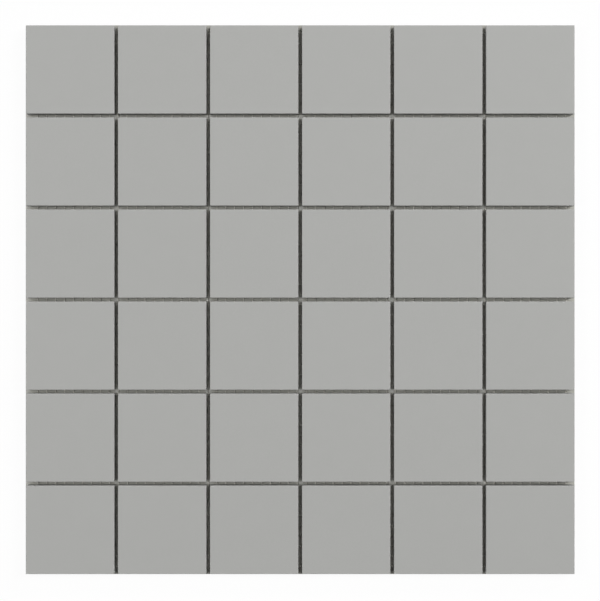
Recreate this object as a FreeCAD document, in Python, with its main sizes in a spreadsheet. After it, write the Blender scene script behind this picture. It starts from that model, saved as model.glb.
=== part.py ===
import FreeCAD, Part
import os

import Sketcher

# A square sheet of porcelain chips bonded to a net, lying with its finished face up.
# Lengths are in millimetres and angles in degrees.
# The origin is under the middle of the sheet, on the surface that the net lies on.
# +Z points out of the finished face. Row 1 is the row at +Y, and column 1 is the column at -X.
# The net is woven with paired warp ends: one end of each pair runs under the wefts and one over them.

TILE_ROWS = 6
TILE_COLUMNS = 6
RECESS_ROWS = 3

# The sizes that can be set by themselves
DRIVING_SIZES = {
    "tile_side": 48.0,
    "tile_thickness": 9.0,
    "joint_width": 2.0,
    "top_arris": 0.3,
    "recess_side": 12.0,
    "recess_rib": 2.5,
    "recess_depth": 0.5,
    "recess_draft": 20.0,
    "warp_width": 0.5,
    "warp_thickness": 0.2,
    "warp_pitch": 4.9,
    "warp_offset": -1.48,
    "weft_width": 1.0,
    "weft_thickness": 0.3,
    "weft_pitch": 5.5,
    "weft_offset": 2.75,
    "net_margin": 1.0,
}

# The sizes that follow from them, each worked out from the ones before it
WORKED_OUT_SIZES = {
    "tile_pitch": "=tile_side + joint_width",
    "sheet_length": f"={TILE_COLUMNS} * tile_pitch - joint_width",
    "sheet_width": f"={TILE_ROWS} * tile_pitch - joint_width",
    "recess_pitch": "=recess_side + recess_rib",
    "recess_span": f"={RECESS_ROWS - 1} * recess_pitch",
    "recess_start": "=(recess_span + recess_side) / 2",
    "net_length": "=sheet_length - 2 * net_margin",
    "net_width": "=sheet_width - 2 * net_margin",
    "upper_warp_height": "=warp_thickness + weft_thickness",
    "net_thickness": "=upper_warp_height + warp_thickness",
    "warp_reach": "=(net_length - warp_width) / 2",
    "warps_before": "=floor((warp_reach + warp_offset) / warp_pitch)",
    "warps_after": "=floor((warp_reach - warp_offset) / warp_pitch)",
    "first_warp": "=warp_offset - warps_before * warp_pitch",
    "warp_count": "=warps_before + warps_after + 1",
    "weft_reach": "=(net_width - weft_width) / 2",
    "wefts_before": "=floor((weft_reach + weft_offset) / weft_pitch)",
    "wefts_after": "=floor((weft_reach - weft_offset) / weft_pitch)",
    "first_weft": "=weft_offset - wefts_before * weft_pitch",
    "weft_count": "=wefts_before + wefts_after + 1",
}

# Numbers by which a sketch knows its own level axis, its upright axis and the two ends of a line
LEVEL_AXIS_INDEX = -1
UPRIGHT_AXIS_INDEX = -2
START_INDEX = 1
END_INDEX = 2

# How far a level face may lie from its place
HEIGHT_TOLERANCE = 0.01


def add_sizes(document):
    """Fill the sheet of sizes, one alias to a row."""
    sheet = document.addObject("Spreadsheet::Sheet", "Sizes")
    cells = {alias: str(value) for alias, value in DRIVING_SIZES.items()}
    cells.update(WORKED_OUT_SIZES)
    for row, (alias, content) in enumerate(cells.items(), start=1):
        sheet.set(f"A{row}", alias)
        sheet.set(f"B{row}", content)
        sheet.setAlias(f"B{row}", alias)
    document.recompute()


def add_body(document, name):
    """Add an empty body whose label names its piece."""
    body = document.addObject("PartDesign::Body", name)
    body.Label = name
    body.AllowCompound = True
    return body


def add_sketch(body, name, plane_role):
    """Add a sketch on one of the body's own origin planes."""
    sketch = body.newObject("Sketcher::SketchObject", name)
    plane = next(item for item in body.Origin.OriginFeatures if item.Role == plane_role)
    sketch.AttachmentSupport = [(plane, "")]
    sketch.MapMode = "FlatFace"
    return sketch


def draw_outline(sketch, corners):
    """Draw a closed outline of straight lines, joined end to end."""
    points = [FreeCAD.Vector(across, up, 0) for across, up in corners]
    for start, end in zip(points, points[1:] + points[:1]):
        sketch.addGeometry(Part.LineSegment(start, end), False)
    for line in range(len(corners)):
        following = (line + 1) % len(corners)
        sketch.addConstraint(Sketcher.Constraint("Coincident", line, END_INDEX, following, START_INDEX))


def bind_size(sketch, name, constraint, expression):
    """Add a dimension to a sketch and tie it to the sheet of sizes."""
    sketch.renameConstraint(sketch.addConstraint(constraint), name)
    sketch.setExpression(f"Constraints.{name}", expression)


def draw_square(sketch, side, start, side_expression, start_expression):
    """Draw a square whose lower left corner lies start to the left of the origin and as far below it."""
    far = side - start
    draw_outline(sketch, [(-start, -start), (far, -start), (far, far), (-start, far)])
    for line, direction in enumerate(["Horizontal", "Vertical", "Horizontal", "Vertical"]):
        sketch.addConstraint(Sketcher.Constraint(direction, line))
    corner = (0, START_INDEX)
    origin = (LEVEL_AXIS_INDEX, START_INDEX)
    bind_size(sketch, "side_across", Sketcher.Constraint("DistanceX", 0, START_INDEX, 0, END_INDEX, side),
              side_expression)
    bind_size(sketch, "side_up", Sketcher.Constraint("DistanceY", 1, START_INDEX, 1, END_INDEX, side),
              side_expression)
    bind_size(sketch, "start_across", Sketcher.Constraint("DistanceX", *corner, *origin, start),
              start_expression)
    bind_size(sketch, "start_up", Sketcher.Constraint("DistanceY", *corner, *origin, start),
              start_expression)


def draw_strand_section(sketch, sizes, strand):
    """Draw a flattened six-sided section of yarn, standing on the sketch's level axis."""
    width = sizes.get(f"{strand}_width")
    thickness = sizes.get(f"{strand}_thickness")
    flat = width - thickness
    draw_outline(sketch, [(-flat / 2, 0), (flat / 2, 0), (width / 2, thickness / 2),
                          (flat / 2, thickness), (-flat / 2, thickness), (-width / 2, thickness / 2)])
    underside, lower_right, _, upper_side, upper_left, _ = range(sketch.GeometryCount)
    origin = (LEVEL_AXIS_INDEX, START_INDEX)
    right_tip = (lower_right, END_INDEX)
    left_tip = (upper_left, END_INDEX)
    sketch.addConstraint(Sketcher.Constraint("PointOnObject", underside, START_INDEX, LEVEL_AXIS_INDEX))
    for line in (underside, upper_side):
        ends = (line, START_INDEX, line, END_INDEX)
        sketch.addConstraint(Sketcher.Constraint("Symmetric", *ends, UPRIGHT_AXIS_INDEX))
    sketch.addConstraint(Sketcher.Constraint("Symmetric", *left_tip, *right_tip, UPRIGHT_AXIS_INDEX))
    sketch.addConstraint(Sketcher.Constraint("Equal", underside, upper_side))
    bind_size(sketch, "width", Sketcher.Constraint("DistanceX", *left_tip, *right_tip, width),
              f"Sizes.{strand}_width")
    bind_size(sketch, "underside_flat",
              Sketcher.Constraint("DistanceX", underside, START_INDEX, underside, END_INDEX, flat),
              f"Sizes.{strand}_width - Sizes.{strand}_thickness")
    bind_size(sketch, "thickness",
              Sketcher.Constraint("DistanceY", *origin, upper_side, START_INDEX, thickness),
              f"Sizes.{strand}_thickness")
    bind_size(sketch, "tip_height",
              Sketcher.Constraint("DistanceY", *origin, *right_tip, thickness / 2),
              f"Sizes.{strand}_thickness / 2")


def add_strand(body, sizes, strand, side, plane_role, height):
    """Add one strand through the body's origin, with its underside at a height."""
    section = add_sketch(body, f"{strand}_{side}_section", plane_role)
    draw_strand_section(section, sizes, strand)
    section.setExpression("AttachmentOffset.Base.y", height)
    yarn = body.newObject("PartDesign::Pad", f"{strand}_{side}_strand")
    yarn.Profile = section
    yarn.SideType = "Symmetric"
    return yarn


def repeat_strands(body, strand, yarns):
    """Repeat strands sideways, a pitch apart, so that they fill one set of the net and don't touch."""
    layer = body.newObject("PartDesign::LinearPattern", f"{strand}_set")
    layer.Originals = yarns
    layer.Direction = (yarns[0].Profile[0], ["H_Axis"])
    layer.Mode = "Spacing"
    layer.setExpression("Offset", f"Sizes.{strand}_pitch")
    layer.setExpression("Occurrences", f"Sizes.{strand}_count")
    body.Tip = layer


def add_warps(document):
    """Add the strands that run along Y: in each pair, one end under the wefts and one over them."""
    body = add_body(document, "net_warp")
    under = add_strand(body, document.Sizes, "warp", "under", "XZ_Plane", "0")
    over = add_strand(body, document.Sizes, "warp", "over", "XZ_Plane", "Sizes.upper_warp_height")
    for yarn in (under, over):
        yarn.setExpression("Length", "Sizes.net_width")
    repeat_strands(body, "warp", [under, over])
    body.setExpression("Placement.Base.x", "Sizes.first_warp")
    return body


def add_wefts(document):
    """Add the strands that run along X, between the two ends of each warp pair."""
    body = add_body(document, "net_weft")
    yarn = add_strand(body, document.Sizes, "weft", "middle", "YZ_Plane", "0")
    yarn.setExpression("Length", "Sizes.net_length")
    repeat_strands(body, "weft", [yarn])
    body.setExpression("Placement.Base.y", "Sizes.first_weft")
    body.setExpression("Placement.Base.z", "Sizes.warp_thickness")
    return body


def name_top_face(shape):
    """Name the level face that lies highest."""
    heights = [face.CenterOfMass.z for face in shape.Faces]
    return f"Face{heights.index(max(heights)) + 1}"


def add_blank(body, sizes, suffix):
    """Add the square block that a chip is finished from."""
    outline = add_sketch(body, f"outline_{suffix}", "XY_Plane")
    draw_square(outline, sizes.tile_side, sizes.tile_side / 2, "Sizes.tile_side", "Sizes.tile_side / 2")
    blank = body.newObject("PartDesign::Pad", f"blank_{suffix}")
    blank.Profile = outline
    blank.setExpression("Length", "Sizes.tile_thickness")
    return blank


def ease_top_edges(body, blank, suffix):
    """Take the sharp edge off the four sides of the finished face."""
    arris = body.newObject("PartDesign::Chamfer", f"arris_{suffix}")
    arris.Base = (blank, [name_top_face(blank.Shape)])
    arris.setExpression("Size", "Sizes.top_arris")


def cut_recesses(body, sizes, suffix):
    """Cut shallow square recesses with drafted walls into the back, which leaves ribs between them."""
    outline = add_sketch(body, f"recess_outline_{suffix}", "XY_Plane")
    draw_square(outline, sizes.recess_side, sizes.recess_start, "Sizes.recess_side", "Sizes.recess_start")
    recess = body.newObject("PartDesign::Pocket", f"recess_{suffix}")
    recess.Profile = outline
    recess.Reversed = True
    recess.setExpression("Length", "Sizes.recess_depth")
    recess.setExpression("TaperAngle", "-Sizes.recess_draft")
    ribs = body.newObject("PartDesign::LinearPattern", f"ribs_{suffix}")
    ribs.Originals = [recess]
    ribs.Direction = (outline, ["H_Axis"])
    ribs.Direction2 = (outline, ["V_Axis"])
    ribs.Occurrences = RECESS_ROWS
    ribs.Occurrences2 = RECESS_ROWS
    ribs.setExpression("Length", "Sizes.recess_span")
    ribs.setExpression("Length2", "Sizes.recess_span")
    body.Tip = ribs


def add_tile(document, row, column):
    """Add one square chip with eased top edges and a ribbed back, seated on the net."""
    suffix = f"r{row}_c{column}"
    body = add_body(document, f"tile_{suffix}")
    blank = add_blank(body, document.Sizes, suffix)
    document.recompute()
    ease_top_edges(body, blank, suffix)
    document.recompute()
    cut_recesses(body, document.Sizes, suffix)
    columns_right = column - (TILE_COLUMNS + 1) / 2
    rows_up = (TILE_ROWS + 1) / 2 - row
    body.setExpression("Placement.Base.x", f"{columns_right} * Sizes.tile_pitch")
    body.setExpression("Placement.Base.y", f"{rows_up} * Sizes.tile_pitch")
    body.setExpression("Placement.Base.z", "Sizes.net_thickness")
    return body


def check_objects(document, bodies):
    """Stop if any feature failed or any piece has no sound shape."""
    for item in document.Objects:
        if "Invalid" in item.State or "Error" in item.State:
            raise RuntimeError(f"{item.Label} failed: {item.State}")
    for body in bodies:
        if body.Shape.isNull() or not body.Shape.isValid():
            raise RuntimeError(f"{body.Label} has no valid shape")


def check_recesses(tile, sizes):
    """Stop if a chip's back doesn't have all of its recesses at their full depth."""
    floor_height = sizes.net_thickness + sizes.recess_depth
    floors = [face for face in tile.Shape.Faces if abs(face.CenterOfMass.z - floor_height) < HEIGHT_TOLERANCE]
    if len(floors) != RECESS_ROWS ** 2:
        raise RuntimeError(f"{tile.Label} has {len(floors)} recesses")


def check_strands(layer, count):
    """Stop if a layer of the net has too few or too many strands."""
    if len(layer.Shape.Solids) != count:
        raise RuntimeError(f"{layer.Label} has {len(layer.Shape.Solids)} strands")


def main():
    """Build the net and the chips, check them and write one file for each piece."""
    document = FreeCAD.newDocument("mosaic_tile_sheet")
    add_sizes(document)
    sizes = document.Sizes
    wefts = add_wefts(document)
    warps = add_warps(document)
    tiles = []
    for row in range(1, TILE_ROWS + 1):
        for column in range(1, TILE_COLUMNS + 1):
            tiles.append(add_tile(document, row, column))
    bodies = [wefts, warps] + tiles
    document.recompute()
    check_objects(document, bodies)
    check_strands(wefts, sizes.weft_count)
    check_strands(warps, 2 * sizes.warp_count)
    for tile in tiles:
        check_recesses(tile, sizes)
    os.makedirs("parts", exist_ok=True)
    for body in bodies:
        body.Shape.exportStep(f"parts/{body.Label}.step")


main()
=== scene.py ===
"""A mosaic sheet of matt grey porcelain chips on a glass-fibre net, set out for a studio picture.

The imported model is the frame: its chips and its net give every place in here. Each chip is built
over its own node with rounded arrises and a ribbed back, and the net is woven over its two nodes
with crossing warp ends. Lengths are in metres, and MM turns the millimetres of a maker's drawing
into them. What a material measures is in millimetres, and its name ends in _mm.
"""

import logging
import math
from collections.abc import Iterable, Mapping, Sequence
from dataclasses import dataclass, field
from enum import Enum

import bpy
import numpy as np
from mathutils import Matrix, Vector
from mathutils.geometry import tessellate_polygon


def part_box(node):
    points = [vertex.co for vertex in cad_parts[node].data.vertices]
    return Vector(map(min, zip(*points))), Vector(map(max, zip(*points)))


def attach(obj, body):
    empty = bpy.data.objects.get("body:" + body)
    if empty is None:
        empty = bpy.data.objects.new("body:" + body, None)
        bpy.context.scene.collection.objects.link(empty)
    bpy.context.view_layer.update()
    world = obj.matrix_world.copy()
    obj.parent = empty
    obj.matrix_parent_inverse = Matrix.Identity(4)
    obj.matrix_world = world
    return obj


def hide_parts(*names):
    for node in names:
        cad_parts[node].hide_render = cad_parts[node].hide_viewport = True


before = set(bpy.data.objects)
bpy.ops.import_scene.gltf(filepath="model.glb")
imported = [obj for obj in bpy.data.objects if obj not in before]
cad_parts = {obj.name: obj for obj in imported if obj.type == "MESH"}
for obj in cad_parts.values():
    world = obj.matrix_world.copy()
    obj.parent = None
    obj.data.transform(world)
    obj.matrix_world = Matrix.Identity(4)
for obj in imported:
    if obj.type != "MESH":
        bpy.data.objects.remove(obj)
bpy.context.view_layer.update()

Colour = tuple[float, float, float]
Point = tuple[float, float, float]
Socket = bpy.types.NodeSocket
Value = Socket | float
Triple = Socket | tuple[float, float, float]
Inputs = Mapping[str | int, Value | Triple]

MM = 0.001
PER_MM = 1 / MM
MICROMETRE_DIGITS = 6
QUARTER_TURN = math.pi / 2
FULL_TURN = 2 * math.pi
UP = np.array((0.0, 0.0, 1.0))
WHITE: Colour = (1.0, 1.0, 1.0)
BODY = "root"
IMAGE_LONG_SIDE = 601

log = logging.getLogger("mosaic_sheet")


class Sum(Enum):
    """The sums that a pattern is worked out with."""

    ADD = "ADD"
    SUBTRACT = "SUBTRACT"
    MULTIPLY = "MULTIPLY"
    LARGER = "MAXIMUM"
    SMALLER = "MINIMUM"
    SIZE = "ABSOLUTE"
    ABOVE = "GREATER_THAN"


class VectorSum(Enum):
    """The sums that a place is worked out with."""

    ADD = "ADD"
    SUBTRACT = "SUBTRACT"
    MULTIPLY = "MULTIPLY"
    REMAINDER = "MODULO"
    WHOLE_PART = "FLOOR"


class Run(Enum):
    """The way a strand runs over the sheet."""

    ALONG_X = "x"
    ALONG_Y = "y"

    @property
    def direction(self) -> np.ndarray:
        """The unit vector along the strand."""
        return np.array((1.0, 0.0, 0.0) if self is Run.ALONG_X else (0.0, 1.0, 0.0))

    @property
    def side(self) -> np.ndarray:
        """The unit vector across the strand, on the level."""
        return np.array((0.0, 1.0, 0.0) if self is Run.ALONG_X else (1.0, 0.0, 0.0))

    @property
    def turn(self) -> int:
        """The way round its section is drawn, so that its skin faces out."""
        return 1 if self is Run.ALONG_X else -1


class Level(Enum):
    """Where a warp end lies at each weft."""

    UNDER = "under"
    OVER = "over"

    @property
    def sign(self) -> int:
        """The side of the net's middle, upwards."""
        return 1 if self is Level.OVER else -1


@dataclass(frozen=True)
class Stretch:
    """How one range of numbers is stretched over another."""

    low: float
    high: float
    to_low: float
    to_high: float

    @classmethod
    def rise(cls, low: float, high: float) -> "Stretch":
        """Gives the rise from 0 at one number to 1 at the other."""
        return cls(low, high, 0.0, 1.0)

    @classmethod
    def fall(cls, low: float, high: float) -> "Stretch":
        """Gives the fall from 1 at one number to 0 at the other."""
        return cls(low, high, 1.0, 0.0)

    def counted_from(self, mark: float) -> "Stretch":
        """Gives the same stretch with its first range moved to a mark."""
        return Stretch(mark + self.low, mark + self.high, self.to_low, self.to_high)


@dataclass(frozen=True)
class Noise:
    """One kind of cloudy noise about a half.

    Attributes:
        scale: Cells in a millimetre.
        detail: How many finer layers are added.
        roughness: How strong the finer layers are.
    """

    scale: float
    detail: float
    roughness: float = 0.5


class NodeBench:
    """The nodes of one material or world, made and joined one at a time."""

    def __init__(self, tree: bpy.types.NodeTree) -> None:
        """Clears the node tree of a material or world to build in."""
        self.tree = tree
        tree.nodes.clear()

    @classmethod
    def for_material(cls, name: str) -> tuple["NodeBench", bpy.types.Material]:
        """Makes a new material.

        Args:
            name: The material's name.

        Returns:
            The bench for its nodes, and the material.
        """
        material = bpy.data.materials.new(name)
        material.use_nodes = True
        return cls(material.node_tree), material

    def node(self, kind: str, inputs: Inputs | None = None, **settings: object) -> bpy.types.Node:
        """Adds a node.

        Args:
            kind: The node's type, such as ShaderNodeMath.
            inputs: What its inputs are fed, by their names or numbers.
            settings: Its properties by name.

        Returns:
            The new node.
        """
        made = self.tree.nodes.new(kind)
        for name, value in settings.items():
            setattr(made, name, value)
        for key, value in (inputs or {}).items():
            self.feed(made.inputs[key], value)
        return made

    def feed(self, socket: Socket, value: Value | Triple) -> None:
        """Links a socket to another, or sets its own value.

        Args:
            socket: The input to feed.
            value: An output to link, or a number or triple to set.
        """
        if isinstance(value, bpy.types.NodeSocket):
            self.tree.links.new(value, socket)
        elif isinstance(value, tuple) and len(socket.default_value) == len(value) + 1:
            socket.default_value = (*value, 1.0)
        else:
            socket.default_value = value

    def sum(self, how: Sum, first: Value, second: Value = 0.0) -> Socket:
        """Works out one sum of two numbers, of which SIZE leaves the second unread."""
        made = self.node("ShaderNodeMath", {0: first, 1: second}, operation=how.value)
        return made.outputs[0]

    def total(self, *values: Value) -> Socket:
        """Adds up numbers.

        Args:
            values: Two or more numbers.

        Returns:
            Their total.
        """
        result = values[0]
        for value in values[1:]:
            result = self.sum(Sum.ADD, result, value)
        return result

    def share(self, value: Socket, share: float) -> Socket:
        """Takes a fixed share of a number."""
        return self.sum(Sum.MULTIPLY, value, share)

    def vector(self, how: VectorSum, first: Triple, second: Triple) -> Socket:
        """Works out one sum of two vectors, of which WHOLE_PART leaves the second unread."""
        made = self.node("ShaderNodeVectorMath", {0: first, 1: second}, operation=how.value)
        return made.outputs[0]

    def split(self, vector: Socket) -> tuple[Socket, Socket, Socket]:
        """Takes a vector apart into its x, y and z."""
        x, y, z = self.node("ShaderNodeSeparateXYZ", {0: vector}).outputs
        return x, y, z

    def place_in_mm(self) -> Socket:
        """Gives the place on the piece in millimetres of the sheet's frame."""
        place = self.node("ShaderNodeTexCoord").outputs["Object"]
        return self.vector(VectorSum.MULTIPLY, place, (PER_MM, PER_MM, PER_MM))

    def facing_up(self) -> Socket:
        """Gives how far the surface itself faces up, from -1 to 1."""
        return self.split(self.node("ShaderNodeTexCoord").outputs["Normal"])[2]

    def noise(self, place: Socket, kind: Noise) -> Socket:
        """Draws cloudy noise.

        Args:
            place: Where on the piece, in millimetres.
            kind: The kind of noise.

        Returns:
            The noise.
        """
        inputs = {
            "Vector": place,
            "Scale": kind.scale,
            "Detail": kind.detail,
            "Roughness": kind.roughness,
        }
        return self.node("ShaderNodeTexNoise", inputs).outputs[0]

    def spread(self, value: Socket, over: Stretch) -> Socket:
        """Stretches a number's range over another, smoothly and without passing its ends.

        Args:
            value: The number.
            over: The two ranges.

        Returns:
            The stretched number.
        """
        inputs = {
            "From Min": over.low,
            "From Max": over.high,
            "To Min": over.to_low,
            "To Max": over.to_high,
            "Value": value,
        }
        made = self.node("ShaderNodeMapRange", inputs, interpolation_type="SMOOTHSTEP")
        return made.outputs[0]

    def blend(self, share: Value, first: Triple, second: Triple) -> Socket:
        """Blends a share of the second colour, from 0 to 1, over the first."""
        inputs = {"Factor": share, 6: first, 7: second}
        return self.node("ShaderNodeMix", inputs, data_type="RGBA", clamp_factor=True).outputs[2]

    def relief(self, height: Socket, depth: float, strength: float) -> Socket:
        """Turns a pattern into raised grain, in which 1 stands the depth over 0."""
        inputs = {"Strength": strength, "Distance": depth, "Height": height}
        return self.node("ShaderNodeBump", inputs).outputs[0]

    def seen_as_backdrop(self) -> Socket:
        """Tells what is looked at from what only throws its light on things.

        Returns:
            1 for what the camera, a mirror or glass sees, and 0 for any other ray.
        """
        path = self.node("ShaderNodeLightPath").outputs
        seen = self.sum(Sum.LARGER, path["Is Camera Ray"], path["Is Glossy Ray"])
        return self.sum(Sum.LARGER, seen, path["Is Transmission Ray"])

    def mix_shaders(self, share: Socket, first: Socket, second: Socket) -> Socket:
        """Mixes a share of the second shader, from 0 to 1, with the first."""
        return self.node("ShaderNodeMixShader", {0: share, 1: first, 2: second}).outputs[0]

    def finish_surface(self, colour: Triple, roughness: Value, normal: Socket) -> None:
        """Ends a material with the shader of its grained surface."""
        inputs = {"Base Color": colour, "Roughness": roughness, "Normal": normal}
        self.close(self.node("ShaderNodeBsdfPrincipled", inputs).outputs[0])

    def close(self, shader: Socket, end: str = "ShaderNodeOutputMaterial") -> None:
        """Links a shader to the output of the material or world."""
        self.node(end, {"Surface": shader})


class MeshMaker:
    """Gathers points and faces, and turns them into one smooth piece."""

    def __init__(self) -> None:
        """Starts with nothing."""
        self.points: list[Point] = []
        self.faces: list[tuple[int, ...]] = []

    def ring(self, points: Iterable[Sequence[float]]) -> list[int]:
        """Adds the points of one closed ring.

        Args:
            points: The points in order.

        Returns:
            Their indices.
        """
        start = len(self.points)
        self.points.extend(tuple(point) for point in points)
        return list(range(start, len(self.points)))

    def bridge(self, first: Sequence[int], second: Sequence[int]) -> None:
        """Joins a ring to the next, of as many points, with four-sided faces."""
        after = [*range(1, len(first)), 0]
        self.faces.extend((first[i], first[j], second[j], second[i]) for i, j in enumerate(after))

    def skin(self, rings: Sequence[Sequence[int]]) -> None:
        """Joins each ring to the next."""
        for first, second in zip(rings, rings[1:]):
            self.bridge(first, second)

    def lid(self, ring: Sequence[int]) -> None:
        """Closes a ring with one flat face."""
        self.faces.append(tuple(ring))

    def plate_with_holes(self, outline: Sequence[int], holes: Sequence[Sequence[int]]) -> None:
        """Fills the level ground between an outline and the holes in it, facing down.

        Args:
            outline: The outer ring.
            holes: The rings of the holes.
        """
        loops = [outline, *holes]
        flat = [index for loop in loops for index in loop]
        fill = tessellate_polygon([[Vector(self.points[i]) for i in loop] for loop in loops])
        triangles = [tuple(flat[i] for i in corners) for corners in fill]
        turn = sum(self._turn(triangle) for triangle in triangles)
        self.faces.extend(triangle[::-1] if turn > 0 else triangle for triangle in triangles)

    def _turn(self, triangle: tuple[int, ...]) -> float:
        """Gives twice a triangle's area as seen from above, below 0 if it faces down."""
        a, b, c = (Vector(self.points[i]) for i in triangle)
        return (b - a).cross(c - a).z

    def piece(self, name: str, material: bpy.types.Material) -> bpy.types.Object:
        """Makes the object.

        Args:
            name: The piece's name.
            material: The finish of all its faces.

        Returns:
            The new object, with its points where they lie in the frame.
        """
        mesh = bpy.data.meshes.new(name)
        mesh.from_pydata(self.points, [], self.faces)
        mesh.polygons.foreach_set("use_smooth", [True] * len(mesh.polygons))
        mesh.materials.append(material)
        mesh.validate()
        made = bpy.data.objects.new(name, mesh)
        bpy.context.scene.collection.objects.link(made)
        return made


@dataclass(frozen=True)
class SheetGrid:
    """The rows and columns that the chips lie in, read from the frame.

    Attributes:
        names: The chips' nodes.
        pitch: From one chip to the next.
        chip: The side of a chip.
        reach: From the sheet's middle to its outline.
        face: The height of the chips' faces.
    """

    names: tuple[str, ...]
    pitch: float
    chip: float
    reach: float
    face: float

    @classmethod
    def from_frame(cls) -> "SheetGrid":
        """Reads the chips' nodes.

        Returns:
            The grid.
        """
        names = tuple(sorted(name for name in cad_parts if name.startswith("tile_")))
        boxes = [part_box(name) for name in names]
        lefts = sorted({round(low.x, MICROMETRE_DIGITS) for low, _ in boxes})
        first_low, first_high = boxes[0]
        return cls(
            names=names,
            pitch=lefts[1] - lefts[0],
            chip=first_high.x - first_low.x,
            reach=max(high.x for _, high in boxes),
            face=first_high.z,
        )

    @property
    def pitch_mm(self) -> float:
        """The distance from one chip to the next."""
        return self.pitch * PER_MM

    @property
    def half_chip_mm(self) -> float:
        """Half a chip's side."""
        return self.chip * PER_MM / 2

    @property
    def outline_mm(self) -> float:
        """The distance from the sheet's middle to its outline."""
        return self.reach * PER_MM

    @property
    def corner_mm(self) -> float:
        """How far out the corner of the outermost cell of chip and joint lies, along x and y."""
        return (self.reach + (self.pitch - self.chip) / 2) * PER_MM

    def from_corner(self, bench: NodeBench, place: Socket) -> Socket:
        """Counts a place in millimetres from the corner of the outermost cell."""
        return bench.vector(VectorSum.ADD, place, (self.corner_mm, self.corner_mm, 0.0))

    def from_chip_middle(self, bench: NodeBench, place: Socket) -> tuple[Socket, Socket]:
        """Finds how far a place lies from the middle of its chip.

        Args:
            bench: The material's bench.
            place: The place in millimetres.

        Returns:
            The distances in millimetres along x and along y.
        """
        cell = (self.pitch_mm, self.pitch_mm, 1.0)
        middle = (self.pitch_mm / 2, self.pitch_mm / 2, 0.0)
        in_cell = bench.vector(VectorSum.REMAINDER, self.from_corner(bench, place), cell)
        x, y, _ = bench.split(bench.vector(VectorSum.SUBTRACT, in_cell, middle))
        return bench.sum(Sum.SIZE, x), bench.sum(Sum.SIZE, y)


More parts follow.
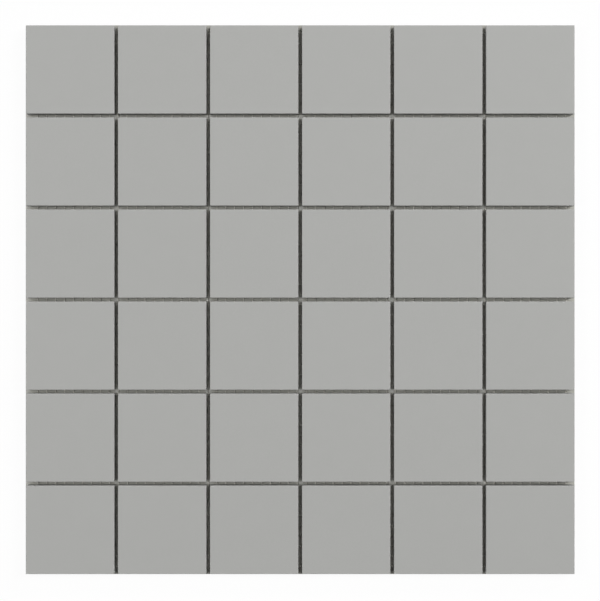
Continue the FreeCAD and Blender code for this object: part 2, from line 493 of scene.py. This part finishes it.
@dataclass(frozen=True)
class PorcelainFinish:
    """Matt through-coloured porcelain: mineral grain, arrises worn pale with painted highlight,
    pressed sides, a washed back.

    A field that ends in _tone is what its pattern adds to the blend from shade, at 0, to light,
    at 1, and one that ends in _roughness what it adds to the roughness.

    Attributes:
        back: The colour of the wash on the underside.
        own_tone: How far the chips differ from each other.
        arris_wear_and_highlight_mm: The pale band round the face, partly wear and partly painted
            highlight on the arris, counted from the chip's edge.
        fleck_scale: The flecks' cells in a millimetre.
        fleck_size: A fleck's radius, as a share of a cell.
        fleck_core: The share of the radius that is fully coloured.
        fleck_rarity: The share of the cells that has no fleck of one colour.
        upright: How far the skin faces up or down, against how much it counts as a side.
        under: How far the skin faces up, against how much it counts as underside.
        press_mark_scale: How the marks' places are drawn in, so that they stand upright.
        shift_mm: The most that a chip's pattern is moved.
    """

    shade: Colour = (0.360, 0.362, 0.349)
    light: Colour = (0.442, 0.444, 0.431)
    back: Colour = (0.520, 0.515, 0.490)
    cloud: Noise = Noise(scale=0.09, detail=3.0)
    cloud_tone: Stretch = Stretch(0.3, 0.7, 0.475, 0.525)
    grain: Noise = Noise(scale=4.5, detail=3.0, roughness=0.6)
    grain_tone: Stretch = Stretch(0.25, 0.75, -0.24, 0.24)
    grain_roughness: Stretch = Stretch(0.3, 0.7, 0.55, 0.65)
    grain_depth: float = 0.022 * MM
    grain_strength: float = 0.2
    own_tone: float = 0.04
    fleck_scale: float = 1.3
    fleck_size: float = 0.15
    fleck_core: float = 0.6
    fleck_rarity: float = 0.74
    pale_fleck_tone: float = 0.55
    dark_fleck_tone: float = -0.65
    arris_wear_and_highlight_mm: Stretch = Stretch.rise(-0.55, -0.1)
    # Partly wear, partly painted highlight: the arris is painted paler than its own shading gives.
    arris_wear_and_highlight_tone: float = 0.45
    upright: Stretch = Stretch.fall(0.2, 0.6)
    upright_roughness: float = 0.08
    press_mark: Noise = Noise(scale=1.0, detail=4.0, roughness=0.7)
    press_mark_scale: tuple[float, float, float] = (1.1, 1.1, 0.1)
    press_mark_tone: Stretch = Stretch(0.3, 0.7, -0.16, 0.12)
    under: Stretch = Stretch.fall(-0.6, -0.2)
    under_roughness: float = 0.22
    wash: Noise = Noise(scale=0.35, detail=4.0, roughness=0.65)
    wash_cover: Stretch = Stretch(0.38, 0.62, 0.25, 0.95)
    shift_mm: float = 400.0

    def make(self, name: str, grid: SheetGrid) -> bpy.types.Material:
        """Makes the material for every chip.

        Args:
            name: The material's name.
            grid: The chips' places, so that no pattern runs on from one chip to the next.

        Returns:
            The material.
        """
        bench, material = NodeBench.for_material(name)
        place = bench.place_in_mm()
        chip_number, own_place = self._own_pattern(bench, place, grid)
        grain = bench.noise(own_place, self.grain)
        pale_fleck, dark_fleck = self._flecks(bench, own_place)
        facing_up = bench.facing_up()
        upright = bench.spread(bench.sum(Sum.SIZE, facing_up), self.upright)
        under = bench.spread(facing_up, self.under)
        tone = bench.total(
            bench.spread(bench.noise(own_place, self.cloud), self.cloud_tone),
            bench.spread(grain, self.grain_tone),
            bench.share(chip_number, self.own_tone),
            bench.share(pale_fleck, self.pale_fleck_tone),
            bench.share(dark_fleck, self.dark_fleck_tone),
            # Pale arris: partly wear, partly painted highlight.
            bench.share(self._arris_wear_and_highlight(bench, place, grid), self.arris_wear_and_highlight_tone),
            bench.sum(Sum.MULTIPLY, upright, self._press_marks(bench, own_place)),
        )
        face = bench.blend(tone, self.shade, self.light)
        cover = bench.spread(bench.noise(own_place, self.wash), self.wash_cover)
        colour = bench.blend(bench.sum(Sum.MULTIPLY, under, cover), face, self.back)
        roughness = bench.total(
            bench.spread(grain, self.grain_roughness),
            bench.share(under, self.under_roughness),
            bench.share(upright, self.upright_roughness),
        )
        normal = bench.relief(grain, self.grain_depth, self.grain_strength)
        bench.finish_surface(colour, roughness, normal)
        return material

    def _own_pattern(
        self, bench: NodeBench, place: Socket, grid: SheetGrid
    ) -> tuple[Socket, Socket]:
        """Sets each chip's pattern apart from the next one's.

        Args:
            bench: The material's bench.
            place: The place in millimetres.
            grid: The chips' places.

        Returns:
            A number from -0.5 to 0.5 for the chip, and the place moved by the chip's own amount.
        """
        per_mm = MM / grid.pitch
        cells = (per_mm, per_mm, 0.0)
        cell = bench.vector(VectorSum.MULTIPLY, grid.from_corner(bench, place), cells)
        number = bench.vector(VectorSum.WHOLE_PART, cell, (0.0, 0.0, 0.0))
        dice = bench.node("ShaderNodeTexWhiteNoise", {"Vector": number}).outputs
        chip_number = bench.sum(Sum.SUBTRACT, dice["Value"], 0.5)
        shift = bench.vector(VectorSum.MULTIPLY, dice["Color"], (self.shift_mm,) * 3)
        return chip_number, bench.vector(VectorSum.ADD, place, shift)

    def _flecks(self, bench: NodeBench, place: Socket) -> tuple[Socket, Socket]:
        """Scatters mineral flecks.

        Args:
            bench: The material's bench.
            place: The chip's own place in millimetres.

        Returns:
            The pale flecks and the dark flecks, each 1 in a fleck and 0 elsewhere.
        """
        inputs = {"Vector": place, "Scale": self.fleck_scale}
        cells = bench.node("ShaderNodeTexVoronoi", inputs).outputs
        reach = Stretch.fall(self.fleck_size * self.fleck_core, self.fleck_size)
        spot = bench.spread(cells["Distance"], reach)
        pale, dark = (
            bench.sum(Sum.MULTIPLY, spot, bench.sum(Sum.ABOVE, chance, self.fleck_rarity))
            for chance in bench.split(cells["Color"])[:2]
        )
        return pale, dark

    def _arris_wear_and_highlight(self, bench: NodeBench, place: Socket, grid: SheetGrid) -> Socket:
        """Finds the narrow band round each chip's face that is painted pale, partly as wear and
        partly as painted highlight, 1 at its edge.
        """
        from_middle = bench.sum(Sum.LARGER, *grid.from_chip_middle(bench, place))
        return bench.spread(from_middle, self.arris_wear_and_highlight_mm.counted_from(grid.half_chip_mm))

    def _press_marks(self, bench: NodeBench, place: Socket) -> Socket:
        """Draws the upright drag marks that the press leaves on a chip's sides."""
        drawn_in = bench.vector(VectorSum.MULTIPLY, place, self.press_mark_scale)
        return bench.spread(bench.noise(drawn_in, self.press_mark), self.press_mark_tone)


@dataclass(frozen=True)
class YarnFinish:
    """Off-white glass-fibre yarn in its binder, with filaments along its run.

    Its fields are named as those of the porcelain are, and filament_stretch is how far the
    filaments' places are drawn in along the run.
    """

    shade: Colour
    light: Colour
    filament: Noise = Noise(scale=13.0, detail=2.0, roughness=0.6)
    filament_stretch: float = 0.05
    filament_tone: Stretch = Stretch(0.3, 0.7, 0.25, 0.75)
    filament_depth: float = 0.03 * MM
    filament_strength: float = 0.6
    binder: Noise = Noise(scale=0.55, detail=3.0)
    binder_tone: Stretch = Stretch(0.35, 0.65, -0.18, 0.18)
    binder_roughness: Stretch = Stretch(0.35, 0.65, 0.66, 0.84)

    def make(self, name: str, run: Run) -> bpy.types.Material:
        """Makes the material for the strands of one direction.

        Args:
            name: The material's name.
            run: The way the strands run.

        Returns:
            The material.
        """
        bench, material = NodeBench.for_material(name)
        place = bench.place_in_mm()
        drawn_in = tuple(1 - run.direction * (1 - self.filament_stretch))
        stretched = bench.vector(VectorSum.MULTIPLY, place, drawn_in)
        filaments = bench.noise(stretched, self.filament)
        binder = bench.noise(place, self.binder)
        tone = bench.total(
            bench.spread(filaments, self.filament_tone),
            bench.spread(binder, self.binder_tone),
        )
        colour = bench.blend(tone, self.shade, self.light)
        roughness = bench.spread(binder, self.binder_roughness)
        normal = bench.relief(filaments, self.filament_depth, self.filament_strength)
        bench.finish_surface(colour, roughness, normal)
        return material


@dataclass(frozen=True)
class BackdropFinish:
    """Paper under the sheet: cream where the joints show it, with painted light and shade, and
    white round the sheet.

    The camera hangs over the middle, so the faces hide a strip of the floor past the outline. It
    shows only through the joints' open ends, and is toned as the joints are, with painted shade at
    the top, bottom and right and the crossings' painted light on the left.

    Attributes:
        rim_painted_shade: Painted shade, a darker cream under the open ends at the top and bottom,
            standing in for shade that the lamps don't give there.
        right_rim_painted_shade: The same painted shade, lighter, on the right. The open ends on the
            left keep the crossings' painted light.
        crossing: Painted light, a paler cream under the joints' crossings, standing in for light
            that the lamps don't bring there.
        rim_painted_shade_edge_mm: The inner edge of the painted shade, counted from where the
            camera sees past the faces.
        crossing_painted_light_edge_mm: The edge of a crossing's painted light, counted from the
            joint's middle.
        sides_from: Where the left and right sides begin, as a share of the way to the outline.
        outline_edge_mm: The white paper's edge beside the joints, counted from the outline.
        sight_edge_mm: Its edge at the open ends, counted from where the camera sees past them.
        chip_edge_mm: The edge of what a face hides, counted from the chip's edge.
        white_share: How much of the white is the backdrop's own. The rest takes the lamps' light,
            and keeps the sheet's faint shadow.
    """

    cream_shade: Colour = (0.56, 0.555, 0.505)
    cream_light: Colour = (0.60, 0.595, 0.545)
    # Painted shade: a darker cream under the joints' open ends at the top and bottom, and a lighter
    # one on the right.
    rim_painted_shade: Colour = (0.41, 0.407, 0.37)
    right_rim_painted_shade: Colour = (0.48, 0.477, 0.435)
    # Painted light: a paler cream under the joints' crossings and the left open ends.
    crossing: Colour = (0.77, 0.765, 0.72)
    white: Colour = (0.95, 0.95, 0.95)
    rim_painted_shade_edge_mm: Stretch = Stretch.rise(-6.0, -2.0)
    crossing_painted_light_edge_mm: Stretch = Stretch.rise(-3.2, -0.3)
    sides_from: float = 0.8
    outline_edge_mm: Stretch = Stretch.rise(0.0, 0.5)
    sight_edge_mm: Stretch = Stretch.rise(-0.15, 0.15)
    chip_edge_mm: Stretch = Stretch.fall(-0.3, 0.0)
    fibres: Noise = Noise(scale=0.15, detail=4.0)
    white_share: float = 0.95

    def make(self, name: str, grid: SheetGrid, spill: float) -> bpy.types.Material:
        """Makes the floor's material.

        Args:
            name: The material's name.
            grid: The chips' places.
            spill: How much further out than a point of the face the camera sees the floor behind
                it, as a share of that point's distance from the middle.

        Returns:
            The material.
        """
        bench, material = NodeBench.for_material(name)
        place = bench.place_in_mm()
        x, y, _ = bench.split(place)
        from_middle = bench.sum(Sum.LARGER, bench.sum(Sum.SIZE, x), bench.sum(Sum.SIZE, y))
        outline = grid.outline_mm
        seen = outline * (1 + spill)
        # Where the painted shade lies, under the joints' open ends.
        rim_painted_shade_mask = bench.spread(from_middle, self.rim_painted_shade_edge_mm.counted_from(seen))
        past_outline = bench.spread(from_middle, self.outline_edge_mm.counted_from(outline))
        past_sight = bench.spread(from_middle, self.sight_edge_mm.counted_from(seen))
        on_face = bench.vector(VectorSum.MULTIPLY, place, (1 / (1 + spill),) * 3)
        under_chips = self._under_chips(bench, on_face, grid)
        beside_joints = bench.sum(Sum.MULTIPLY, past_outline, under_chips)
        outside = bench.sum(Sum.LARGER, past_sight, beside_joints)
        in_joints = self._in_joints(bench, place, grid, rim_painted_shade_mask)
        colour = bench.blend(outside, in_joints, self.white)
        paper = bench.node("ShaderNodeBsdfDiffuse", {"Color": colour}).outputs[0]
        glow = bench.node("ShaderNodeEmission").outputs[0]
        own_white = bench.share(outside, self.white_share)
        glowing = bench.sum(Sum.MULTIPLY, own_white, bench.seen_as_backdrop())
        bench.close(bench.mix_shaders(glowing, paper, glow))
        return material

    def _in_joints(
        self, bench: NodeBench, place: Socket, grid: SheetGrid, rim_painted_shade_mask: Socket
    ) -> Socket:
        """Colours the floor that shows in the joints, with painted light at the crossings and
        painted shade under the open ends.

        Args:
            bench: The material's bench.
            place: The place in millimetres.
            grid: The chips' places.
            rim_painted_shade_mask: 1 where the painted shade lies under the joints' open ends, and
                0 further in.

        Returns:
            The colour.
        """
        sides = grid.outline_mm * self.sides_from
        x, _, _ = bench.split(place)
        on_left = bench.sum(Sum.ABOVE, -sides, x)
        on_right = bench.sum(Sum.ABOVE, x, sides)
        cream = bench.blend(bench.noise(place, self.fibres), self.cream_shade, self.cream_light)
        # Painted light at the crossings and at the open ends on the left.
        cream_with_painted_light = bench.blend(self._painted_light_at_crossings(bench, place, grid), cream, self.crossing)
        # Painted shade under the open ends at the top, bottom and right.
        rim_painted_shade = bench.blend(rim_painted_shade_mask, cream_with_painted_light, bench.blend(on_right, self.rim_painted_shade, self.right_rim_painted_shade))
        return bench.blend(on_left, rim_painted_shade, cream_with_painted_light)

    def _painted_light_at_crossings(self, bench: NodeBench, place: Socket, grid: SheetGrid) -> Socket:
        """Finds where the painted light lies, under the joints' crossings and open ends, 1 there
        and 0 elsewhere.
        """
        from_middle = bench.sum(Sum.SMALLER, *grid.from_chip_middle(bench, place))
        return bench.spread(from_middle, self.crossing_painted_light_edge_mm.counted_from(grid.pitch_mm / 2))

    def _under_chips(self, bench: NodeBench, on_face: Socket, grid: SheetGrid) -> Socket:
        """Finds what the chips' faces hide from the camera, 1 behind them and 0 in the joints."""
        from_middle = bench.sum(Sum.LARGER, *grid.from_chip_middle(bench, on_face))
        return bench.spread(from_middle, self.chip_edge_mm.counted_from(grid.half_chip_mm))


@dataclass(frozen=True)
class ChipSet:
    """The porcelain chips, each pressed with a flat face, eased arrises and a ribbed back.

    Attributes:
        arris: The radius of the edge round the face.
        foot: The radius of the edge round the back.
        shoulder: The narrow strip beside each rounding, which keeps the flat past it flat.
        arc_steps: Faces in a quarter circle of the profile.
        corner_steps: Faces in a quarter circle seen from above.
        recess_lip: How far the rounded mouth of a recess reaches.
        recess_lip_bend: Where its middle ring lies, as a share of that.
        recess_fillet: The radius at the foot of a recess's wall.
        fillet_run: Where its middle ring lies along the floor, as a share of that.
        fillet_rise: Where the same ring lies along the wall.
    """

    grid: SheetGrid
    finish: PorcelainFinish = field(default_factory=PorcelainFinish)
    arris: float = 0.3 * MM
    foot: float = 0.12 * MM
    upright_corner: float = 0.25 * MM
    recess_corner: float = 0.6 * MM
    shoulder: float = 0.08 * MM
    arc_steps: int = 4
    corner_steps: int = 3
    recess_rows: int = 3
    recess_side: float = 12.0 * MM
    recess_rib: float = 2.5 * MM
    recess_depth: float = 0.5 * MM
    recess_draft: float = math.radians(20)
    recess_lip: float = 0.1 * MM
    recess_lip_bend: float = 0.3
    recess_fillet: float = 0.15 * MM
    fillet_run: float = 0.35
    fillet_rise: float = 0.75

    def build(self) -> list[bpy.types.Object]:
        """Builds every chip over its node."""
        material = self.finish.make("matt_porcelain", self.grid)
        return [self._chip(name, material) for name in self.grid.names]

    def _chip(self, node: str, material: bpy.types.Material) -> bpy.types.Object:
        """Builds one chip.

        Args:
            node: The chip's node in the frame.
            material: The porcelain.

        Returns:
            The chip.
        """
        low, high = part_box(node)
        middle = (low + high) / 2
        half = (high.x - low.x) / 2
        maker = MeshMaker()
        rings = [
            maker.ring(self._square(middle, half - inset, self.upright_corner, height))
            for inset, height in self._side_profile(low.z, high.z)
        ]
        maker.skin(rings)
        maker.lid(rings[-1])
        mouths = [self._recess(maker, place, low.z) for place in self._recess_places(middle)]
        maker.plate_with_holes(rings[0], mouths)
        chip = maker.piece(node.replace("tile", "chip"), material)
        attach(chip, BODY)
        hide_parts(node)
        return chip

    def _square(self, middle: Vector, half: float, corner: float, height: float) -> list[Point]:
        """Draws a level square with rounded corners, anticlockwise from above.

        Args:
            middle: The square's middle.
            half: Half its side.
            corner: The radius of its corners.
            height: Its height.

        Returns:
            The points, with one on the straight just before and just after each corner.
        """
        points = []
        for quarter in range(4):
            start = quarter * QUARTER_TURN
            steps = range(self.corner_steps + 1)
            angles = [start + QUARTER_TURN * step / self.corner_steps for step in steps]
            turn_x = math.copysign(half - corner, math.cos(start + QUARTER_TURN / 2))
            turn_y = math.copysign(half - corner, math.sin(start + QUARTER_TURN / 2))
            arc = [
                (turn_x + corner * math.cos(angle), turn_y + corner * math.sin(angle))
                for angle in angles
            ]
            before = self._slid(arc[0], angles[0], -self.shoulder)
            after = self._slid(arc[-1], angles[-1], self.shoulder)
            points.extend((middle.x + x, middle.y + y, height) for x, y in (before, *arc, after))
        return points

    @staticmethod
    def _slid(point: tuple[float, float], angle: float, distance: float) -> tuple[float, float]:
        """Slides a point of a circle along its tangent, anticlockwise, given its angle there."""
        return point[0] - distance * math.sin(angle), point[1] + distance * math.cos(angle)

    def _quarter(self, radius: float) -> list[tuple[float, float]]:
        """Gives the insets and drops of a quarter circle's steps, from level to upright."""
        angles = [QUARTER_TURN * step / self.arc_steps for step in range(self.arc_steps + 1)]
        return [(radius * (1 - math.sin(turn)), radius * (1 - math.cos(turn))) for turn in angles]

    def _side_profile(self, back: float, face: float) -> list[tuple[float, float]]:
        """Draws a chip's skin from its back over its side to its face.

        Args:
            back: The height of its back.
            face: The height of its face.

        Returns:
            The inset and height of each ring.
        """
        foot = [(inset, back + rise) for inset, rise in self._quarter(self.foot)]
        arris = [(inset, face - drop) for inset, drop in reversed(self._quarter(self.arris))]
        return [
            (self.foot + self.shoulder, back),
            *foot,
            (0.0, back + self.foot + self.shoulder),
            (0.0, face - self.arris - self.shoulder),
            *arris,
            (self.arris + self.shoulder, face),
        ]

    def _recess_places(self, middle: Vector) -> list[Vector]:
        """Sets out the recesses in a chip's back.

        Args:
            middle: The chip's middle.

        Returns:
            The middle of each recess.
        """
        pitch = self.recess_side + self.recess_rib
        steps = [(row - (self.recess_rows - 1) / 2) * pitch for row in range(self.recess_rows)]
        return [middle + Vector((x, y, 0.0)) for x in steps for y in steps]

    def _recess(self, maker: MeshMaker, place: Vector, back: float) -> list[int]:
        """Presses one recess into a chip's back.

        Args:
            maker: The chip's mesh.
            place: The recess's middle.
            back: The height of the back.

        Returns:
            The ring round its mouth.
        """
        half = self.recess_side / 2
        lean = math.tan(self.recess_draft)
        lip, fillet = self.recess_lip, self.recess_fillet
        wall_end = self.recess_depth - fillet
        foot = half - wall_end * lean
        profile = [
            (half + lip + self.shoulder, 0.0),
            (half + lip, 0.0),
            (half + lip * self.recess_lip_bend, lip * self.recess_lip_bend),
            (half - lip * lean, lip),
            (foot, wall_end),
            (foot - fillet * self.fillet_run, wall_end + fillet * self.fillet_rise),
            (foot - fillet, self.recess_depth),
            (foot - fillet - self.shoulder, self.recess_depth),
        ]
        rings = [
            maker.ring(self._square(place, reach, self.recess_corner, back + rise))
            for reach, rise in profile
        ]
        maker.skin(rings[::-1])
        maker.lid(rings[-1][::-1])
        return rings[0]


@dataclass(frozen=True)
class Strand:
    """One strand, as its stations from end to end."""

    along: np.ndarray
    across: np.ndarray
    height: np.ndarray
    half_width: np.ndarray
    half_thickness: np.ndarray

    def rings(self, run: Run, sides: int) -> np.ndarray:
        """Sets a flat section at each station.

        Args:
            run: The way the strand runs.
            sides: Points round the section.

        Returns:
            The points as stations by sides by three.
        """
        angles = np.arange(sides) * FULL_TURN / sides
        wide = np.cos(angles)
        tall = np.sin(run.turn * angles) / np.sin(angles).max()
        centre = (
            np.outer(self.along, run.direction)
            + np.outer(self.across, run.side)
            + np.outer(self.height, UP)
        )
        sideways = np.outer(self.half_width, wide)[:, :, None] * run.side
        upwards = np.outer(self.half_thickness, tall)[:, :, None] * UP
        return centre[:, None, :] + sideways + upwards


@dataclass(frozen=True)
class GlassFibreNet:
    """The net under the chips: pairs of warp ends that cross between the wefts and grip them.

    Attributes:
        sway: How far an end lies to its side of the pair's line at each weft.
        wander: How far a strand strays from its line over a wander_length.
        ragged_end: The most that a strand is cut short.
        end_gap: The least gap between a strand's end and its next station, in steps.
        warp_squeeze: The share of its width that a warp end loses at its crossings.
        weft_squeeze: The share of its width that a weft loses where the warp grips it.
    """

    warp_finish: YarnFinish = YarnFinish(shade=(0.75, 0.73, 0.665), light=(0.95, 0.935, 0.87))
    weft_finish: YarnFinish = YarnFinish(shade=(0.65, 0.635, 0.58), light=(0.82, 0.805, 0.75))
    warp_pitch: float = 4.9 * MM
    weft_pitch: float = 5.5 * MM
    warp_end_width: float = 0.5 * MM
    warp_end_thickness: float = 0.2 * MM
    weft_width: float = 1.0 * MM
    weft_thickness: float = 0.3 * MM
    sway: float = 0.2 * MM
    wander: float = 0.05 * MM
    wander_length: float = 43.0 * MM
    ragged_end: float = 0.5 * MM
    end_gap: float = 0.25
    warp_squeeze: float = 0.12
    weft_squeeze: float = 0.1
    stations_per_cell: int = 4
    section_sides: int = 6
    seed: int = 11

    def build(self) -> list[bpy.types.Object]:
        """Weaves the net over its two nodes.

        Returns:
            The lower warp ends, the upper warp ends and the wefts.
        """
        dice = np.random.default_rng(self.seed)
        warp_yarn = self.warp_finish.make("glass_fibre_warp", Run.ALONG_Y)
        weft_yarn = self.weft_finish.make("glass_fibre_weft", Run.ALONG_X)
        warps, wefts = self._warp_places(), self._weft_places()
        wanders = dice.uniform(0, FULL_TURN, len(warps))
        pieces = []
        for level in Level:
            strands = [
                self._warp_end(place, level, phase, dice)
                for place, phase in zip(warps, wanders, strict=True)
            ]
            name = f"net_warp_{level.value}"
            pieces.append(self._piece(name, strands, Run.ALONG_Y, warp_yarn, "net_warp"))
        strands = [self._weft(place, dice) for place in wefts]
        pieces.append(self._piece("net_weft_rovings", strands, Run.ALONG_X, weft_yarn, "net_weft"))
        return pieces

    def _warp_places(self) -> np.ndarray:
        """Gives the x of each pair of warp ends."""
        return self._places("net_warp", 0, self.warp_end_width, self.warp_pitch)

    def _weft_places(self) -> np.ndarray:
        """Gives the y of each weft."""
        return self._places("net_weft", 1, self.weft_width, self.weft_pitch)

    @staticmethod
    def _places(node: str, axis: int, width: float, pitch: float) -> np.ndarray:
        """Gives the place of each strand of a node on the axis that they lie side by side on."""
        low, high = (corner[axis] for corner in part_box(node))
        return low + width / 2 + pitch * np.arange(round((high - low) / pitch) + 1)

    def _stations(
        self, node: str, axis: int, pitch: float, crossed: float, dice: np.random.Generator
    ) -> np.ndarray:
        """Sets out a strand's stations, a whole number to each cell, between two uneven ends.

        Args:
            node: The node that the strand stands for.
            axis: The axis that it runs along, 0 or 1.
            pitch: The distance between the strands that it crosses.
            crossed: The place of one of them.
            dice: The source of the uneven ends.

        Returns:
            The stations in order.
        """
        low, high = (corner[axis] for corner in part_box(node))
        start, end = low + dice.uniform(0, self.ragged_end), high - dice.uniform(0, self.ragged_end)
        step = pitch / self.stations_per_cell
        first = math.ceil((start - crossed) / step)
        last = math.floor((end - crossed) / step)
        inner = crossed + step * np.arange(first, last + 1)
        gap = step * self.end_gap
        inner = inner[(inner > start + gap) & (inner < end - gap)]
        return np.concatenate(([start], inner, [end]))

    def _wandering(self, along: np.ndarray, phase: float) -> np.ndarray:
        """Gives how far a strand strays to its side, from where its wandering starts."""
        return self.wander * np.sin(FULL_TURN * along / self.wander_length + phase)

    def _warp_end(
        self, place: float, level: Level, phase: float, dice: np.random.Generator
    ) -> Strand:
        """Weaves one end of a warp pair.

        Args:
            place: The pair's x.
            level: Whether it passes over or under the wefts.
            phase: Where its slight wandering starts.
            dice: The source of its uneven ends.

        Returns:
            The strand.
        """
        weft = self._weft_places()[0]
        along = self._stations("net_warp", 1, self.weft_pitch, weft, dice)
        cell = (along - weft) / self.weft_pitch
        crossing = (1 - np.cos(FULL_TURN * cell)) / 2
        middle = self.warp_end_thickness + self.weft_thickness / 2
        lift = (self.weft_thickness + self.warp_end_thickness) / 2
        squeezed = self.warp_end_thickness / 2
        swaying = level.sign * self.sway * np.cos(np.pi * cell)
        return Strand(
            along=along,
            across=place + self._wandering(along, phase) + swaying,
            height=middle + level.sign * (lift + (squeezed - lift) * crossing),
            half_width=self.warp_end_width / 2 * (1 - self.warp_squeeze * crossing),
            half_thickness=np.full_like(along, self.warp_end_thickness / 2),
        )

    def _weft(self, place: float, dice: np.random.Generator) -> Strand:
        """Lays one weft between the warp ends.

        Args:
            place: Its y.
            dice: The source of its uneven ends and its wandering.

        Returns:
            The strand.
        """
        warp = self._warp_places()[0]
        along = self._stations("net_weft", 0, self.warp_pitch, warp, dice)
        wandering = self._wandering(along, dice.uniform(0, FULL_TURN))
        gripped = (1 + np.cos(FULL_TURN * (along - warp) / self.warp_pitch)) / 2
        return Strand(
            along=along,
            across=place + wandering,
            height=np.full_like(along, self.warp_end_thickness + self.weft_thickness / 2),
            half_width=self.weft_width / 2 * (1 - self.weft_squeeze * gripped),
            half_thickness=np.full_like(along, self.weft_thickness / 2),
        )

    def _piece(
        self, name: str, strands: Sequence[Strand], run: Run, yarn: bpy.types.Material, node: str
    ) -> bpy.types.Object:
        """Makes one piece of all the strands that lie alike.

        Args:
            name: The piece's name.
            strands: The strands.
            run: The way they run.
            yarn: Their finish.
            node: The node that they stand for.

        Returns:
            The piece.
        """
        maker = MeshMaker()
        for strand in strands:
            rings = [maker.ring(ring.tolist()) for ring in strand.rings(run, self.section_sides)]
            maker.skin(rings)
            maker.lid(rings[0][::-1])
            maker.lid(rings[-1])
        made = maker.piece(name, yarn)
        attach(made, BODY)
        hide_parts(node)
        return made


@dataclass(frozen=True)
class SoftBox:
    """One studio lamp behind a rectangular diffuser, aimed at the middle of the sheet."""

    name: str
    place: Vector
    width: float
    height: float
    watts: float

    def build(self) -> None:
        """Hangs the lamp, out of the camera's sight."""
        lamp = bpy.data.lights.new(self.name, "AREA")
        lamp.shape = "RECTANGLE"
        lamp.size, lamp.size_y = self.width, self.height
        lamp.energy = self.watts
        hung = bpy.data.objects.new(self.name, lamp)
        hung.location = self.place
        hung.rotation_euler = (-self.place).to_track_quat("-Z", "Y").to_euler()
        hung.visible_camera = False
        bpy.context.scene.collection.objects.link(hung)


@dataclass(frozen=True)
class Studio:
    """White paper, soft boxes and a camera that looks straight down on the sheet.

    Attributes:
        paper_drop: How far under the net the paper lies.
        room_light: The strength of the room's even fill light.
        camera_distance: From the chips' faces to the camera.
        camera_aim: The point of the sheet that the camera hangs over.
        pixels_per_metre: The picture's scale at the chips' faces.
        sensor: The width of the camera's sensor in millimetres.
    """

    grid: SheetGrid
    paper: BackdropFinish = field(default_factory=BackdropFinish)
    paper_side: float = 4.0
    paper_drop: float = 0.02 * MM
    room_light: float = 0.03
    camera_distance: float = 1.14
    camera_aim: tuple[float, float] = (-0.105 * MM, -0.47 * MM)
    camera_sight: float = 10.0
    pixels_per_metre: float = 1841.5
    sensor: float = 36.0
    soft_boxes: tuple[SoftBox, ...] = (
        SoftBox("left_bank_middle", Vector((-1.6, 0.0, 2.3)), 0.6, 0.9, 24.7),
        SoftBox("left_bank_upper", Vector((-1.6, 0.7, 2.3)), 0.6, 0.9, 7.0),
        SoftBox("right_bank_upper", Vector((1.6, 0.7, 2.3)), 0.6, 0.9, 37.5),
        SoftBox("upper_right_key", Vector((1.8, 1.8, 1.4)), 0.9, 0.9, 23.6),
        SoftBox("overhead", Vector((0.0, 0.5, 2.6)), 0.7, 0.7, 4.6),
    )

    def build(self) -> None:
        """Lays the paper, hangs the lamps, lights the room and sets up the camera."""
        self._lay_paper()
        for box in self.soft_boxes:
            box.build()
            log.info("%s: %.1f W", box.name, box.watts)
        self._light_room()
        self._set_camera()
        bpy.context.scene.view_settings.view_transform = "Standard"

    def _lay_paper(self) -> None:
        """Lays the paper just under the net."""
        half = self.paper_side / 2
        corners = ((-half, -half), (half, -half), (half, half), (-half, half))
        maker = MeshMaker()
        maker.lid(maker.ring([(x, y, -self.paper_drop) for x, y in corners]))
        paper = self.paper.make("studio_paper", self.grid, self.grid.face / self.camera_distance)
        maker.piece("paper_floor", paper)

    def _light_room(self) -> None:
        """Gives the room its faint fill light, and white where the camera looks past the paper."""
        world = bpy.data.worlds.new("white_room")
        world.use_nodes = True
        bpy.context.scene.world = world
        bench = NodeBench(world.node_tree)
        inputs = {"Color": WHITE, "Strength": self.room_light}
        fill = bench.node("ShaderNodeBackground", inputs).outputs[0]
        backdrop = bench.node("ShaderNodeBackground", {"Color": WHITE}).outputs[0]
        mixed = bench.mix_shaders(bench.seen_as_backdrop(), fill, backdrop)
        bench.close(mixed, "ShaderNodeOutputWorld")

    def _set_camera(self) -> None:
        """Hangs the camera over the sheet, with the top row of chips at the picture's top."""
        data = bpy.data.cameras.new("copy_stand_camera")
        data.sensor_width = self.sensor
        data.lens = self.sensor * self.camera_distance * self.pixels_per_metre / IMAGE_LONG_SIDE
        data.clip_end = self.camera_sight
        camera = bpy.data.objects.new("copy_stand_camera", data)
        camera.location = (*self.camera_aim, self.grid.face + self.camera_distance)
        bpy.context.scene.collection.objects.link(camera)
        bpy.context.scene.camera = camera
        log.info("camera: %.1f mm lens, %.2f m over the face", data.lens, self.camera_distance)


def main() -> None:
    """Builds the chips, the net and the studio in order."""
    logging.basicConfig(level=logging.INFO, format="%(name)s: %(message)s")
    grid = SheetGrid.from_frame()
    for piece in (*ChipSet(grid).build(), *GlassFibreNet().build()):
        log.info("%s: %d faces", piece.name, len(piece.data.polygons))
    Studio(grid).build()


if __name__ == "__main__":
    main()
